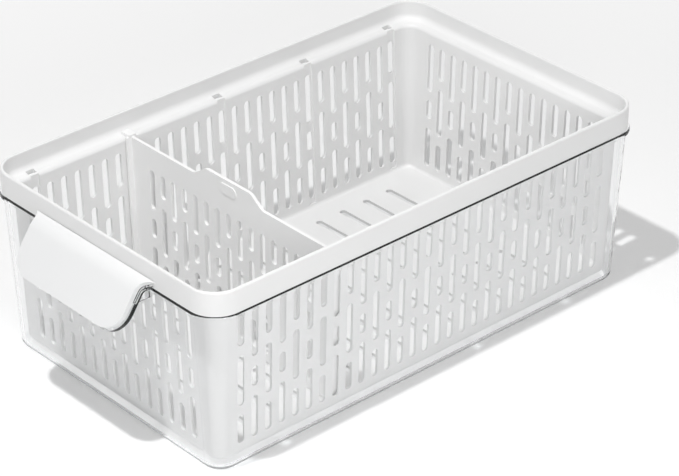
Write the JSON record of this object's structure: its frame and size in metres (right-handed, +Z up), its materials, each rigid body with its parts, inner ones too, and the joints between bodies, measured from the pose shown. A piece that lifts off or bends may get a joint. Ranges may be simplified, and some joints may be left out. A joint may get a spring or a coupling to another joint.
{
  "type": "produce keeper",
  "caption": "Clear fridge bin with a covered pull handle, a white slotted basket that hangs in it by its rim, and a lift-out slotted divider.",
  "frame": {"origin": "centre of the bin's flat underside, on the surface that it stands on", "axes": "+Z up, +Y from the handle end to the back along the long side, X across the width"},
  "size_m": [0.2154, 0.3803, 0.127],
  "materials": {
    "clear_plastic": "clear moulded plastic, polished",
    "cover_white": "smooth satin white moulded plastic",
    "basket_white": "smooth satin white moulded plastic",
    "divider_white": "smooth satin white moulded plastic"
  },
  "bodies": {
    "bin": {"outer_bin": "clear_plastic", "handle_cover": "cover_white"},
    "basket": {"basket": "basket_white"},
    "divider": {"divider": "divider_white"}
  },
  "joints": [
    {"name": "basket_lift", "type": "slide", "parent": "bin", "child": "basket", "axis": [0, 0, 1], "range_m": [0, 0.13]},
    {"name": "divider_lift", "type": "slide", "parent": "basket", "child": "divider", "axis": [0, 0, 1], "range_m": [0, 0.125]}
  ]
}
